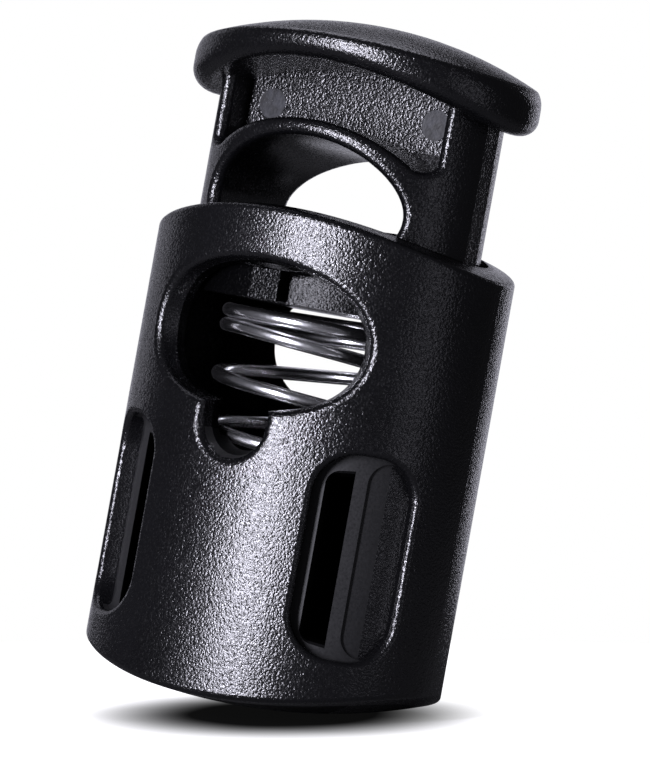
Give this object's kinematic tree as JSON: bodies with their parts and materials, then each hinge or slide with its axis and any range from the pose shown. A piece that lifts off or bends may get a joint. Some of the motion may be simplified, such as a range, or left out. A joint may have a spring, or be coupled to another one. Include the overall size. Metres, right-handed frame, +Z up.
{
  "type": "cord lock",
  "caption": "Spring cord lock: oval barrel with keyhole cord openings and side strap slots, and a sprung push-button plunger with its own cord hole.",
  "frame": {"origin": "lowest point of the housing, on its centre line", "axes": "+Z up to the button, along the plunger's travel; X across the width; -Y the front face"},
  "size_m": [0.0196, 0.0142, 0.035],
  "materials": {
    "housing_plastic": "fine spark-eroded grain",
    "plunger_plastic": "fine spark-eroded grain",
    "spring_wire": "bright plated steel"
  },
  "bodies": {
    "housing": {"housing": "housing_plastic", "spring": "spring_wire"},
    "plunger": {"plunger": "plunger_plastic"}
  },
  "joints": [
    {"name": "plunger_slide", "type": "slide", "parent": "housing", "child": "plunger", "axis": [0, 0, -1], "range_m": [0, 0.0068], "stiffness_N_per_m": 900, "springref_m": -0.004, "deforming": ["spring"]}
  ]
}
